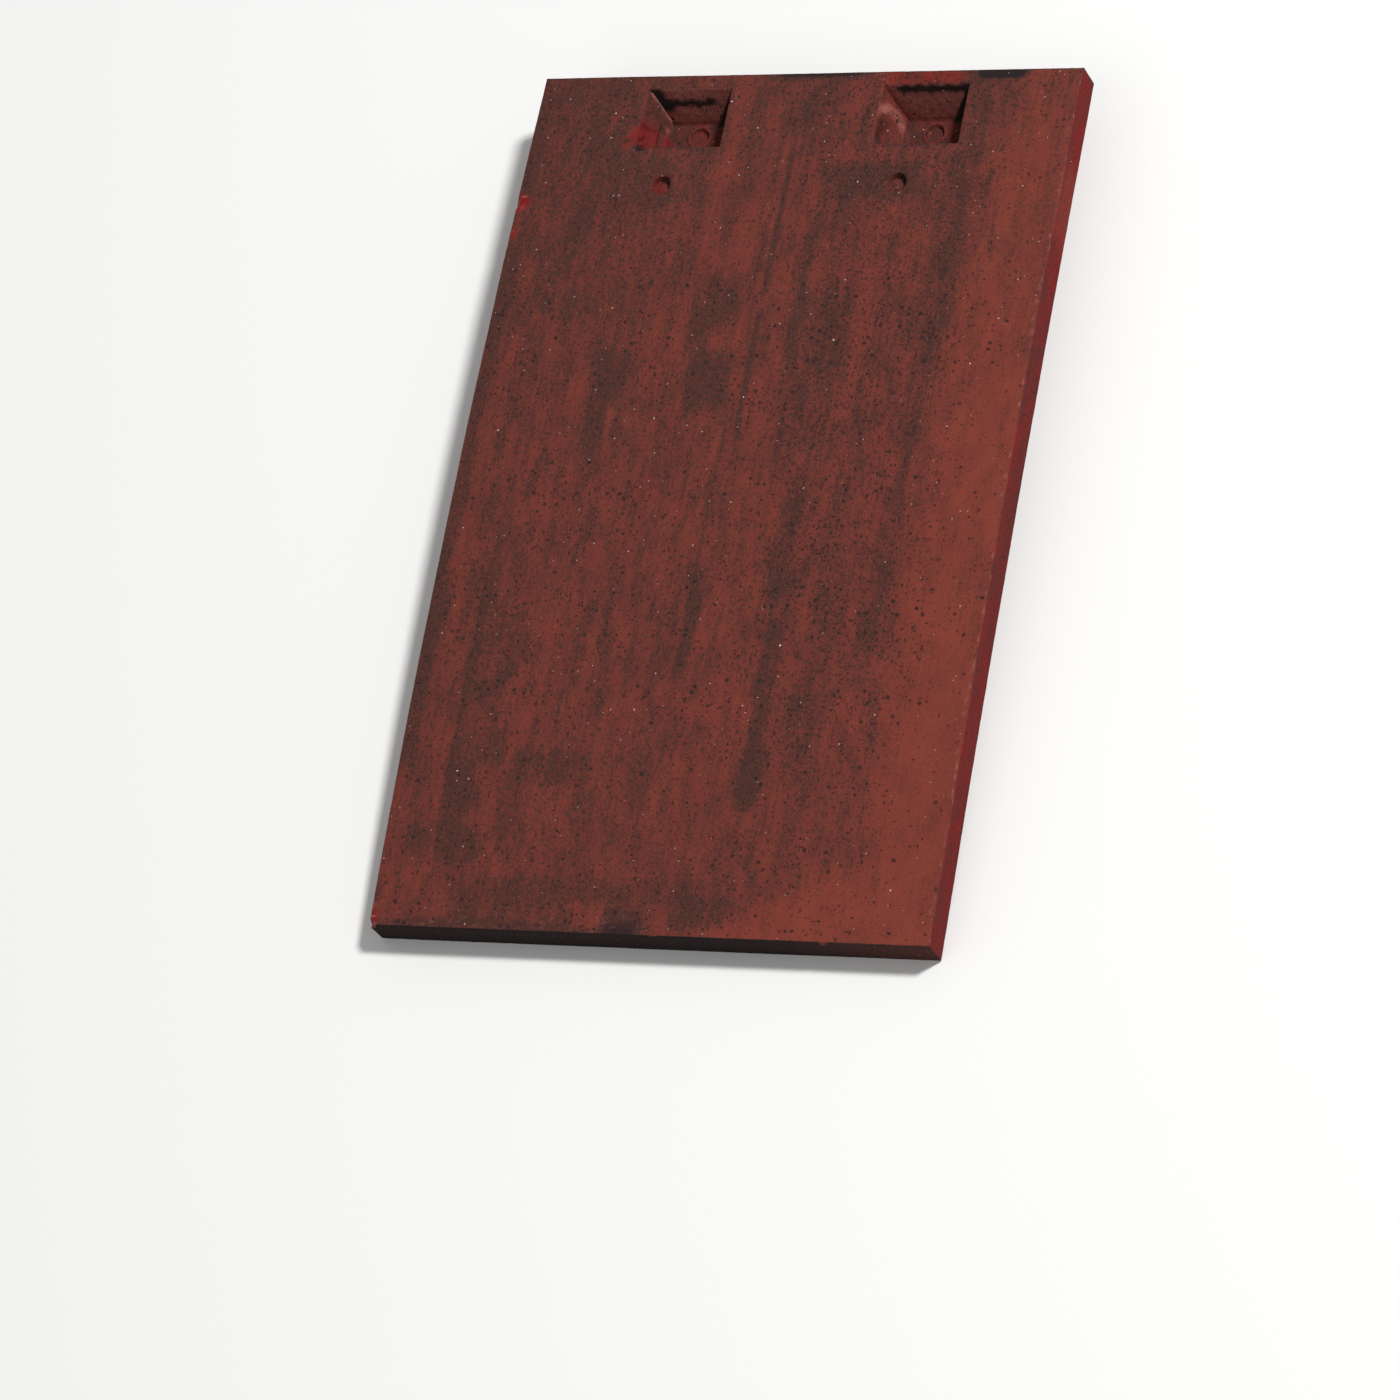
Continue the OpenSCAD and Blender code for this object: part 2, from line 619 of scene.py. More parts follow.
@dataclass(frozen=True)
class Stroke:
    """A smoke mark on the face, in millimetres from its left side and its head."""

    x: float
    start: float
    end: float
    width: float
    strength: float
    slant: float = 0.0

    def at(self, across: float, along: float) -> float:
        """Find how dark the mark is at a place.

        Args:
            across: Millimetres from the left side.
            along: Millimetres from the head.

        Returns:
            The darkness, from 0 to the mark's strength.
        """
        fade = min(10.0, (self.end - self.start) * 0.35)
        ends = step_between(self.start, self.start + fade, along)
        ends *= 1 - step_between(self.end - fade * 0.8, self.end, along)
        if ends == 0:
            return 0.0
        middle = self.x + self.slant * (along - self.start)
        middle += min(2.0, self.width * 0.2) * ripple(self.x, along / 14, 1.5)
        half = self.width / 2 * (1 + 0.25 * ripple(self.x, along / 9, 7.5))
        return self.strength * ends * (1 - step_between(half * 0.6, half * 1.3, abs(across - middle)))


SMOKE_STROKES = (
    Stroke(85, 20, 78, 2.2, 1.0),
    Stroke(85, 74, 120, 2.0, 0.75),
    Stroke(81, 116, 172, 1.6, 0.5),
    Stroke(81.7, 156, 196, 4, 0.7),
    Stroke(72.5, 64, 90, 13, 0.36),
    Stroke(72.5, 88, 114, 13, 0.74),
    Stroke(41, 86, 112, 11, 0.64),
    Stroke(40.5, 104, 131, 6, 0.52),
    Stroke(21.5, 6, 30, 5, 0.5),
    Stroke(22, 36, 72, 2, 0.55),
    Stroke(22, 40, 60, 8, 0.3),
    Stroke(40, 25, 47, 20, 0.35),
    Stroke(111, 28, 45, 27, 0.45),
    Stroke(104.5, 66, 129, 20, 0.16),
    Stroke(109, 68, 98, 7, 0.15),
    Stroke(107, 132, 174, 9, 0.32),
    Stroke(109.5, 157, 170, 12, 0.25),
    Stroke(108, 170, 236, 5, 0.5),
    Stroke(108.5, 205, 234, 9, 0.55),
    Stroke(122, 190, 220, 15, 0.24),
    Stroke(141, 25, 190, 12, 0.15),
    Stroke(139, 60, 150, 3, 0.28),
    Stroke(126, 140, 192, 10, 0.06),
    Stroke(17, 155, 252, 2.2, 0.65),
    Stroke(20.5, 215, 252, 7, 0.45),
    Stroke(31.5, 189, 202, 5, 0.5, -0.7),
    Stroke(29.5, 206, 224, 8, 0.45),
    Stroke(47, 214, 228, 26, 0.42),
    Stroke(66, 252, 262, 90, 0.28),
    Stroke(100, 256, 269, 20, 0.5),
    Stroke(77, 265, 274, 15, 0.7),
    Stroke(25, 236, 254, 12, 0.5),
    Stroke(33, 260, 290, 18, 0.8),
    Stroke(45, 256, 265, 20, 0.2),
    Stroke(2, 178, 207, 9, 0.55),
    Stroke(1, 55, 225, 8, 0.6),
    Stroke(10, 236, 250, 5, 0.4),
    Stroke(87, 8, 20, 4, 0.4),
    Stroke(94, -6, 30, 12, 0.3),
    Stroke(96, 25, 112, 6, 0.28),
    Stroke(82, 6, 24, 10, 0.3),
    Stroke(22, 176, 214, 14, 0.2),
    Stroke(23, 55, 70, 10, 0.25),
)

EDGE_SOOT = (
    Stroke(144, -9, 6.5, 19, 1.7),
    Stroke(89, -9, 4.4, 30, 1.5),
    Stroke(35, -6, 1.4, 66, 0.8),
    Stroke(36, 262.0, 290, 84, 0.95),
    Stroke(77, 258.0, 296, 15, 1.3),
)


@dataclass(frozen=True)
class Chip:
    """A flake off an edge: a ball's bite, in millimetres from the left side, the head and the face."""

    x: float
    y: float
    z: float
    radius: float

    def bitten(self, across: float, along: float, above: float) -> Triple | None:
        """Push a place out of the ball.

        Args:
            across: Millimetres from the left side.
            along: Millimetres from the head.
            above: Millimetres above the face.

        Returns:
            The new place, or None if the flake misses it.
        """
        away = Vector((across - self.x, along - self.y, above - self.z))
        ragged = self.radius * (1 + 0.10 * ripple(across * 0.9, along * 0.9, above * 0.9))
        if away.length >= ragged:
            return None
        away.normalize()
        return self.x + away.x * ragged, self.y + away.y * ragged, self.z + away.z * ragged


CHIPS = (
    Chip(-1.6, 270.6, 1.8, 4.0),
    Chip(-1.4, 264.5, 2.6, 3.4),
    Chip(-2.6, 43.6, 2.8, 4.6),
    Chip(-2.2, 47.0, 2.4, 3.4),
    Chip(-2.6, 128.0, 2.2, 3.4),
    Chip(172.0, 22.0, 1.7, 2.9),
    Chip(172.2, 41.0, 1.7, 2.9),
    Chip(172.0, 118.0, 1.8, 2.8),
    Chip(172.1, 190.0, 1.8, 2.9),
    Chip(88.0, 272.0, 1.8, 2.9),
    Chip(139.0, 272.2, 1.8, 3.2),
    Chip(171.6, 271.0, 1.0, 2.4),
)


@dataclass
class RoofTile:
    """The whole tile: its plate, nibs, pockets and nail holes, shaped and painted as one fired piece."""

    plate: Plate
    holes: list[NailHole]
    pocket_pitch: float = 74.5 * MM
    pocket_width: float = 27 * MM
    pocket_length: float = 20 * MM
    pocket_from_head: float = 5 * MM
    nib_margin: float = 1 * MM
    coarse: float = 1.4 * MM
    fine: float = 1.0 * MM
    edge: float = 0.7 * MM
    side_band: float = 5 * MM
    tail_band: float = 6 * MM
    pockets: list[Pocket] = field(default_factory=list)
    nibs: list[Nib] = field(default_factory=list)

    def __post_init__(self) -> None:
        """Place the two pockets and the nibs under them."""
        head = self.plate.from_head(self.pocket_from_head)
        for hand in Hand:
            middle = hand.value * self.pocket_pitch / 2
            half = self.pocket_width / 2
            mouth = Rect(middle - half, middle + half, head - self.pocket_length, head)
            self.pockets.append(Pocket(hand, mouth))
            self.nibs.append(Nib(mouth.shrunk(-self.nib_margin, -self.nib_margin, -self.nib_margin)))

    def columns(self) -> list[float]:
        """Return the grid's lines across the tile, one at every side of a pocket, nib and hole patch."""
        inner = self.plate.inner
        marks = {inner.left: self.edge, inner.right: self.coarse}
        marks[inner.left + self.side_band] = self.coarse
        marks[inner.right - self.side_band] = self.edge
        for pocket, nib, hole in zip(self.pockets, self.nibs, self.holes):
            marks[nib.root.left] = self.nib_margin / 2
            marks[pocket.mouth.left] = self.fine
            marks[hole.zone.left] = 2 * hole.patch / hole.patch_cells
            marks[hole.zone.right] = self.fine
            marks[pocket.mouth.right] = self.nib_margin / 2
            marks[nib.root.right] = self.coarse
        places = sorted(marks)
        return divided(places, [marks[place] for place in places])

    def rows(self) -> list[float]:
        """Return the grid's lines along the tile, one at every end of a pocket, nib and hole patch."""
        inner = self.plate.inner
        nib = self.nibs[0]
        pocket = self.pockets[0]
        hole = self.holes[0]
        marks = {
            inner.tail: self.edge,
            inner.tail + self.tail_band: self.coarse,
            hole.zone.tail: 2 * hole.patch / hole.patch_cells,
            hole.zone.head: self.fine,
            nib.root.tail: self.nib_margin / 2,
            pocket.mouth.tail: self.fine,
            pocket.mouth.head: self.nib_margin / 2,
            nib.root.head: self.fine,
            inner.head: self.fine,
        }
        places = sorted(marks)
        return divided(places, [marks[place] for place in places])

    def build(self) -> bpy.types.Object:
        """Shape the whole tile and make its object.

        Returns:
            The tile's object, at the origin, with its place in its mesh.
        """
        bm = bmesh.new()
        self.plate.grid(bm, self.columns(), self.rows())
        bmesh.ops.recalc_face_normals(bm, faces=list(bm.faces))
        bm.normal_update()
        for hole in self.holes:
            hole.build(bm, self.plate.thickness)
        bm.normal_update()
        for pocket in self.pockets:
            pocket.build(bm, self.plate.thickness)
        bm.normal_update()
        for nib in self.nibs:
            nib.build(bm, 0.0)
        bmesh.ops.recalc_face_normals(bm, faces=list(bm.faces))
        bm.normal_update()
        parts = [self.part_of(vert.co, vert.normal) for vert in bm.verts]
        self.sculpt(bm, parts)
        firing = [self.fired(vert.co, part) for vert, part in zip(bm.verts, parts)]
        self.chip(bm, firing)
        for vert in bm.verts:
            vert.co = self.plate.laid(vert.co)
            vert.co.z = max(vert.co.z, 0.0)
        for face in bm.faces:
            face.smooth = True
        mesh = bpy.data.meshes.new("clay_tile")
        bm.to_mesh(mesh)
        bm.free()
        # The firing colours hold painted shade as well, and the scuff painted light.
        layer = mesh.attributes.new("firing", "FLOAT_COLOR", "POINT")
        layer.data.foreach_set("color", [value for point in firing for value in point[:4]])
        layer = mesh.attributes.new("scuff", "FLOAT", "POINT")
        layer.data.foreach_set("value", [point.scuff for point in firing])
        piece = bpy.data.objects.new("clay_tile", mesh)
        bpy.context.scene.collection.objects.link(piece)
        return piece

    def part_of(self, place: Vector, normal: Vector) -> Part:
        """Name the surface that a place is on.

        Args:
            place: Place on the flat tile.
            normal: The surface's direction there.

        Returns:
            The surface.
        """
        inner = self.plate.inner
        for hole in self.holes:
            if hole.holds(place, self.plate.thickness):
                return Part.BORE
        for pocket in self.pockets:
            if place.z < self.plate.thickness - HAIR and pocket.mouth.holds(place):
                if place.z > self.plate.thickness - pocket.depth - MM and normal.z > -0.5:
                    return Part.POCKET
        if place.y > inner.head + HAIR:
            return Part.HEAD_END
        if place.y < inner.tail - HAIR:
            return Part.TAIL_END
        if not inner.left - HAIR < place.x < inner.right + HAIR:
            return Part.LONG_SIDE
        return Part.FACE if place.z > self.plate.thickness / 2 else Part.UNDERSIDE

    def pocket_at(self, place: Vector) -> Pocket:
        """Return the pocket on a place's side of the tile."""
        return self.pockets[0] if place.x < 0 else self.pockets[1]

    def sculpt(self, bm: BMesh, parts: list[Part]) -> None:
        """Push the relief of the clay into the mesh: marked pockets, waves, drag lines and grain.

        Args:
            bm: Mesh that is shaped.
            parts: The surface that each vertex is on.
        """
        face_z = self.plate.thickness
        for vert, part in zip(bm.verts, parts):
            if part is Part.POCKET:
                vert.co = self.pocket_at(vert.co).sculpted(vert.co, face_z)
        bm.normal_update()
        moves = [vert.normal * self.relief(vert.co, part) for vert, part in zip(bm.verts, parts)]
        for vert, move in zip(bm.verts, moves):
            vert.co += move

    def chip(self, bm: BMesh, firing: list[FiringAndPaintedLight]) -> None:
        """Knock flakes off the edges, and bare the clay in them.

        Args:
            bm: Mesh that is shaped.
            firing: How the fire, with painted shade and light, has coloured each vertex, changed where a
                flake is gone.
        """
        half_width = self.plate.width / 2 / MM
        half_length = self.plate.half_length / MM
        top = self.plate.thickness / MM
        for number, vert in enumerate(bm.verts):
            for flake in CHIPS:
                across = vert.co.x / MM + half_width
                along = half_length - vert.co.y / MM
                place = flake.bitten(across, along, vert.co.z / MM - top)
                if place:
                    x, y, z = place
                    vert.co = Vector((x - half_width, half_length - y, z + top)) * MM
                    flecked = ripple(vert.co.x * 700, vert.co.y * 700, vert.co.z * 700)
                    pale = step_between(0.0, 0.45, flecked)
                    firing[number] = FiringAndPaintedLight(0.0, 0.9, 0.1, 0.7, 0.2 + 0.6 * pale)

    def relief(self, place: Vector, part: Part) -> float:
        """Find how far the surface stands out or in at a place.

        Args:
            place: Place on the flat tile.
            part: The surface that it is on.

        Returns:
            The distance along the surface's direction.
        """
        x = place.x / MM
        y = place.y / MM
        z = place.z / MM
        grain = ripple(x / 2.1, y / 2.6, z / 2.1)
        if part is Part.FACE:
            wave = ripple(x / 42, y / 65, 3.0)
            drag = ripple(x / 2.6, y / 55, 9.0) + 0.6 * ripple(x / 1.5, y / 24, 5.0)
            pocket = self.pocket_at(place)
            across, along, _ = pocket.local(place, self.plate.thickness)
            torn = pocket.torn(across, along) * (1 - step_between(0, 1, across))
            torn *= 0.6 * ripple(x / 1.9, y / 1.9, 6.0) - 0.35
            return min(0.0, 0.10 * wave + 0.045 * drag + 0.03 * grain - 0.12 + torn) * MM
        if part is Part.POCKET:
            return 0.12 * grain * MM
        if part is Part.UNDERSIDE:
            wave = ripple(x / 35, y / 45, 21.0)
            return min(0.0, 0.12 * wave + 0.06 * grain - 0.12) * MM
        if part is Part.BORE:
            return 0.08 * grain * MM
        wander = ripple(x / 30, y / 30, z / 30)
        return min(0.0, 0.08 * wander + 0.05 * grain - 0.07) * MM

    def fired(self, place: Vector, part: Part) -> FiringAndPaintedLight:
        """Find how the fire has coloured a place, with painted shade on the tail end, in the pockets and
        holes, and by the left pocket.

        Args:
            place: Place on the flat tile.
            part: The surface that it is on.

        Returns:
            The place's colouring.
        """
        across = (place.x + self.plate.width / 2) / MM
        along = (self.plate.half_length - place.y) / MM
        if part is Part.UNDERSIDE:
            return FiringAndPaintedLight(0.15, 0.35, 0.25)
        # The tail end is near black: partly smoke, partly painted shade, as it faces away from the key
        # light.
        if part is Part.TAIL_END:
            return FiringAndPaintedLight(1.45 - 0.35 * step_between(110, 165, across), 0.0, 0.3)
        if part is Part.HEAD_END:
            return FiringAndPaintedLight(0.8, 0.0, 0.3)
        if part is Part.BORE:
            return self.fired_hole(place)
        if part is Part.POCKET:
            return self.fired_pocket(place)
        if part is Part.LONG_SIDE:
            return self.fired_side(place, across, along)
        clear = 1.0
        for stroke in SMOKE_STROKES:
            clear *= 1 - stroke.at(across, along)
        clean = step_between(136, 158, across)
        if along > 243:
            corner = 100 + (270 - along) * 1.84
            clean = max(clean, step_between(-8, 10, across - corner))
        clear = 1 - 0.95 * (1 - clear)
        haze = 0.23 + 0.07 * step_between(100, 60, across) + 0.30 * hump(across, 80) * hump(along, 130)
        haze += 0.03 * step_between(88, 110, across) * step_between(150, 100, along)
        haze += 0.32 * step_between(130, 20, along) * step_between(120, 155, across)
        clear *= 1 - haze
        clear = 1 - (1 - clear) * (1 - clean * (0.45 + 0.42 * step_between(30, 150, along)))
        crowd = band((84, 112), (132, 160), across)
        specks = 0.40 - 0.2 * clean + 0.6 * crowd * (1 - 0.6 * step_between(170, 250, along))
        pocket = self.pocket_at(place)
        inside, below, _ = pocket.local(place, self.plate.thickness)
        torn = pocket.torn(inside, below) * (1 - step_between(0, 2, inside))
        strip = band((108, 113), (132, 137), across) * step_between(6, 4, along)
        smoke = (1 - clear) * (1 - 0.85 * max(torn, strip))
        rim = hump(below - 20.5, 0.9) * band((2, 5), (22, 27), inside)
        smoke = max(smoke, 0.7 * rim, 0.3 * strip, *(stroke.at(across, along) for stroke in EDGE_SOOT))
        # Painted shadow in the gap at the left pocket's tail-left corner, and painted shade in the crease
        # across its torn clay.
        if pocket.hand is Hand.LEFT:
            smoke = max(smoke, 1.8 * hump(below - 20.2, 2.4) * hump(inside - 1.6, 4.4))
            painted_crease_shade = hump(below - 16.5 + 0.3 * inside, 1.6) * step_between(0, -3, inside)
            smoke = max(smoke, 0.8 * torn * painted_crease_shade)
        flecks = step_between(0.25, 0.5, ripple(across * 1.1, along * 1.2, 8.0))
        scuff = 0.2 * flecks * hump(along - 268, 6) * step_between(105, 70, across)
        nick = hump(across, 7) * hump(along - 43.0, 5.0)
        nick = max(nick, 0.6 * hump(across, 5) * hump(along - 53.0, 4.0))
        nick = max(nick, 0.8 * hump(across, 4.0) * hump(along - 267.0, 4.5))
        scuff += 0.9 * nick * step_between(0.1, 0.4, ripple(across * 0.5 + along * 1.3, across * 0.3, 5.0))
        smoke *= 1 - 0.8 * step_between(0.1, 0.5, nick)
        rubbed = step_between(0.28, 0.5, ripple(across * 0.8, along * 0.7, 4.0))
        rubbed *= step_between(167.8, 169.3, across)
        scuff = max(scuff, 0.5 * rubbed)
        bare = max(0.6 * torn, 0.6 * strip, step_between(0.1, 0.5, nick))
        return FiringAndPaintedLight(smoke, max(clean * (1 - strip), torn), specks, bare, scuff)

    def fired_side(self, place: Vector, across: float, along: float) -> FiringAndPaintedLight:
        """Find how the fire has coloured a place on a long side, with a painted highlight along the top
        arris.

        Args:
            place: Place on the flat tile.
            across: Millimetres from the left side.
            along: Millimetres from the head.

        Returns:
            The place's colouring.
        """
        # The top arris is lighter and more orange: partly wear, partly a painted highlight.
        worn_and_lit_arris = step_between(-0.7, -0.3, (place.z - self.plate.thickness) / self.plate.arris)
        flecked = worn_and_lit_arris * step_between(0.25, 0.55, ripple(across * 0.5, along * 0.45, 3.0))
        ragged = 3.0 * ripple(along * 0.2, place.z * 300, 1.0)
        orange = band((24, 36), (50, 62), along + ragged)
        clean = max(0.8 * worn_and_lit_arris, 0.9 * orange)
        bare = (0.9 - 0.6 * worn_and_lit_arris) * (1 - 0.5 * orange)
        return FiringAndPaintedLight(0.45 - 0.25 * orange, clean, 0.04, bare, 0.05 * worn_and_lit_arris + 0.45 * flecked)

    def fired_hole(self, place: Vector) -> FiringAndPaintedLight:
        """Find how the fire has coloured a place in a nail hole, with a painted shadow in it.

        The hole has a near black painted shadow on its side towards the key light, and is red or dusty on
        its floor.

        Args:
            place: Place on the hole's wall or floor.

        Returns:
            The place's colouring.
        """
        hole = self.holes[0] if place.x < 0 else self.holes[1]
        # A painted shadow falls on the side of the hole towards the key light.
        off = ((place.x - hole.x) * 0.9 + (place.y - hole.y) * 0.44) / hole.radius
        painted_crescent_shadow = 0.9 * step_between(0.3, 0.75, off)
        if place.x < 0:
            return FiringAndPaintedLight(0.25 + painted_crescent_shadow, 0.3, 0.2, 0.6)
        dust = 0.3 * step_between(0.2, 0.5, ripple(place.x * 1800, place.y * 500, 2.0))
        return FiringAndPaintedLight(0.5 + painted_crescent_shadow, 0.3, 0.4, 0.1, dust * (1 - min(1.0, painted_crescent_shadow)))

    def fired_pocket(self, place: Vector) -> FiringAndPaintedLight:
        """Find how the fire has coloured a place inside a pocket, with painted shade, shadows and light on
        its walls and floor.

        Args:
            place: Place on a pocket's wall or floor.

        Returns:
            The place's colouring.
        """
        pocket = self.pocket_at(place)
        across, along, down = pocket.local(place, self.plate.thickness)
        side_foot = down * math.tan(pocket.side_draft)
        on_head = hump(along - down * math.tan(pocket.head_draft), 1.5)
        on_left = hump(across - side_foot, 2.5)
        from_right = (pocket.mouth.right - place.x) / MM
        on_right = hump(from_right - side_foot, 2.0)
        # corner is a painted shadow: the right rim's shadow on the head wall, near black.
        corner = on_head * (1 - step_between(0.55, 0.75, from_right / max(1.0, down)))
        ragged = 0.7 * ripple(across * 0.5, along * 0.5, down * 0.8)
        band_wobble = 1.0 * ripple(across * 0.3, 3.0, down * 0.3) + 0.7 * ripple(across * 0.8, 7.0, down * 0.8)
        # The right wall is darkened as painted shade and the corner as a painted shadow. The head wall gets
        # slightly less smoke.
        smoke = 0.16 + 0.26 * on_left - 0.08 * on_head + 0.4 * on_right + 1.3 * corner
        bare = 0.35 * (1 - 0.8 * on_left)
        # A pale lift on the head wall, short of the floor, is painted light that stands in for the pale sky
        # light there.
        scuff = 0.52 * on_head * (1 - on_left) * step_between(12.8, 11.5, down)
        if pocket.hand is Hand.RIGHT:
            ring = math.hypot((along - 13.6) / 1.15, down - 6.0)
            # A dark ragged band just under the head rim.
            smoke += 1.5 * on_head * hump(down + 0.6 * band_wobble - 1.9, 2.5) * step_between(2, 6, across)
            # The dish in the left wall gets painted shade in its hollow and a painted highlight round its
            # rim.
            smoke += on_left * (0.5 * hump(ring, 4.5) - 0.3 * hump(ring - 7.0, 2.5))
            smoke += on_left * (0.4 * step_between(13, 18, along) - 0.25 * step_between(10, 6, along))
            scuff += on_left * hump(ring - 6.8, 2.2) * (0.12 + 0.50 * step_between(11, 6, along))
        else:
            # A dark ragged band across the head wall.
            streak = hump(down + band_wobble - 5.2, 2.3) * step_between(23, 19, across + band_wobble)
            smoke += 1.4 * on_head * streak
            # wedge is painted shade in the head wall's left corner, near black.
            wedge = 1 - step_between(2.5, 5.5, across + ragged - down * 0.32)
            smoke += 1.3 * on_head * wedge * (1 - step_between(7.0, 9.5, down))
            red = step_between(9, 11, along) * hump(across - side_foot, 5.0)
            bare = max(bare, red)
            # Painted shade along the groove in the torn wall, and a little less smoke on the torn clay.
            smoke += 1.2 * red * hump(down - 9.2, 1.0) - 0.1 * red
            # Painted shadow in the gap at the mouth's tail-left corner.
            smoke += 1.6 * hump(along - 19.0, 2.0) * hump(across - 2.0, 4.5)
            fin = pocket.fin(along, down) * step_between(0.2, 0.6, on_left)
            fin *= band((0.4, 1.2), (11.5, 12.5), down)
            smoke *= 1 - 0.85 * fin
            scuff += 0.6 * fin
            scuff = max(scuff, 0.04 * red, 0.5 * on_left * hump(down - 11.2, 1.2) * hump(along - 8.0, 1.5))
        # The floor is darker all over, partly as painted shade of the deep floor, with a dark blotch near
        # the punch mark.
        if down > pocket.depth / MM - 0.2:
            smoke += 0.38 + 0.5 * hump(across - 10.0, 3.5) * hump(along - 11.0, 3.0)
        return FiringAndPaintedLight(smoke, 0.1, 0.35, bare, scuff * (1 - step_between(0.4, 1.0, smoke)))


class Wiring:
    """Adds nodes to a node tree and wires them together."""

    def __init__(self, tree: NodeTree) -> None:
        """Start on an empty tree."""
        self.tree = tree
        self.tree.nodes.clear()

    def node(self, kind: str, **settings: object) -> bpy.types.Node:
        """Add a node and set its options.

        Args:
            kind: Blender's name for the node.
            settings: Options of the node.

        Returns:
            The node.
        """
        made = self.tree.nodes.new(kind)
        for name, value in settings.items():
            setattr(made, name, value)
        return made

    def feed(self, socket: Socket, value: object) -> None:
        """Link a socket to another one, or set its value."""
        if isinstance(value, Socket):
            self.tree.links.new(value, socket)
        else:
            socket.default_value = value

    def math(self, operation: str, *values: object, clamp: bool = False) -> Socket:
        """Work out a value from others.

        Args:
            operation: Blender's name for the sum.
            values: Sockets or numbers.
            clamp: Whether the result stays from 0 to 1.

        Returns:
            The result's socket.
        """
        made = self.node("ShaderNodeMath", operation=operation, use_clamp=clamp)
        for socket, value in zip(made.inputs, values):
            self.feed(socket, value)
        return made.outputs[0]

    def between(
        self, value: object, low: object, high: object, to_low: float = 0.0, to_high: float = 1.0
    ) -> Socket:
        """Map a value smoothly from one range to another.

        Args:
            value: Socket to map.
            low: Value that becomes to_low.
            high: Value that becomes to_high.
            to_low: Result at and below low.
            to_high: Result at and above high.

        Returns:
            The result's socket.
        """
        made = self.node("ShaderNodeMapRange", interpolation_type="SMOOTHSTEP")
        for name, given in zip(("Value", "From Min", "From Max", "To Min", "To Max"),
                               (value, low, high, to_low, to_high)):
            self.feed(made.inputs[name], given)
        return made.outputs["Result"]

    def mix(self, share: object, first: object, second: object, blend: str = "MIX") -> Socket:
        """Mix two colours.

        Args:
            share: How much of the second colour, from 0 to 1.
            first: Colour or socket.
            second: Colour or socket.
            blend: Blender's name for the way of mixing.

        Returns:
            The mixed colour's socket.
        """
        made = self.node("ShaderNodeMix", data_type="RGBA", blend_type=blend)
        self.feed(made.inputs[0], share)
        for socket, value in zip((made.inputs[6], made.inputs[7]), (first, second)):
            self.feed(socket, (*value, 1.0) if isinstance(value, tuple) else value)
        return made.outputs[2]

    def stretched(self, vector: Socket, scale: Triple) -> Socket:
        """Scale coordinates by a different amount along each axis."""
        made = self.node("ShaderNodeMapping")
        made.inputs["Scale"].default_value = scale
        self.feed(made.inputs["Vector"], vector)
        return made.outputs["Vector"]

    def noise(self, vector: Socket, scale: float, detail: float, rough: float) -> Socket:
        """Add smooth noise.

        Args:
            vector: Coordinates.
            scale: Waves for each unit.
            detail: Octaves.
            rough: How strong each octave is beside the one before.

        Returns:
            The noise's value, about 0.5 on average.
        """
        made = self.node("ShaderNodeTexNoise", noise_dimensions="3D")
        self.feed(made.inputs["Vector"], vector)
        made.inputs["Scale"].default_value = scale
        made.inputs["Detail"].default_value = detail
        made.inputs["Roughness"].default_value = rough
        return made.outputs["Fac"]


def new_group(name: str, inputs: dict[str, str], outputs: dict[str, str]) -> tuple[NodeTree, Wiring]:
    """Make an empty shader node group with named sockets.

    Args:
        name: Name of the group.
        inputs: Kind of each input socket, by its name.
        outputs: Kind of each output socket, by its name.

    Returns:
        The group and its wiring.
    """
    tree = bpy.data.node_groups.new(name, "ShaderNodeTree")
    for label, kind in inputs.items():
        tree.interface.new_socket(name=label, in_out="INPUT", socket_type=kind)
    for label, kind in outputs.items():
        tree.interface.new_socket(name=label, in_out="OUTPUT", socket_type=kind)
    return tree, Wiring(tree)


VECTOR = "NodeSocketVector"
FLOAT = "NodeSocketFloat"


def scatter_group() -> NodeTree:
    """Make the group that scatters small round grains or specks.

    Returns:
        The group: a place and the spacing, share and radius of the grains go in, a mask comes out.
    """
    tree, wire = new_group(
        "Scattered grains",
        {"Place": VECTOR, "Spacing": FLOAT, "Share": FLOAT, "Radius": FLOAT},
        {"Mask": FLOAT},
    )
    given = wire.node("NodeGroupInput")
    scale = wire.math("DIVIDE", 1.0, given.outputs["Spacing"])
    wobble = wire.node("ShaderNodeTexNoise")
    wire.feed(wobble.inputs["Vector"], given.outputs["Place"])
    wobble.inputs["Scale"].default_value = 1.6
    wobble.inputs["Detail"].default_value = 1.0
    shift = wire.node("ShaderNodeVectorMath", operation="MULTIPLY_ADD")
    wire.feed(shift.inputs[0], wobble.outputs["Color"])
    shift.inputs[1].default_value = (0.7, 0.7, 0.7)
    wire.feed(shift.inputs[2], given.outputs["Place"])
    cells = wire.node("ShaderNodeTexVoronoi", feature="F1", voronoi_dimensions="3D")
    wire.feed(cells.inputs["Vector"], shift.outputs[0])
    wire.feed(cells.inputs["Scale"], scale)
    chance = wire.node("ShaderNodeSeparateColor")
    wire.feed(chance.inputs[0], cells.outputs["Color"])
    present = wire.math("LESS_THAN", chance.outputs[0], given.outputs["Share"])
    size = wire.math("MULTIPLY_ADD", chance.outputs[1], 0.8, 0.45)
    reach = wire.math("MULTIPLY", wire.math("MULTIPLY", given.outputs["Radius"], scale), size)
    inside = wire.between(cells.outputs["Distance"], wire.math("MULTIPLY", reach, 0.6), reach, 1.0, 0.0)
    result = wire.node("NodeGroupOutput")
    weight = wire.math("MULTIPLY_ADD", chance.outputs[2], 0.6, 0.4)
    wire.feed(result.inputs["Mask"], wire.math("MULTIPLY", wire.math("MULTIPLY", present, inside), weight))
    return tree


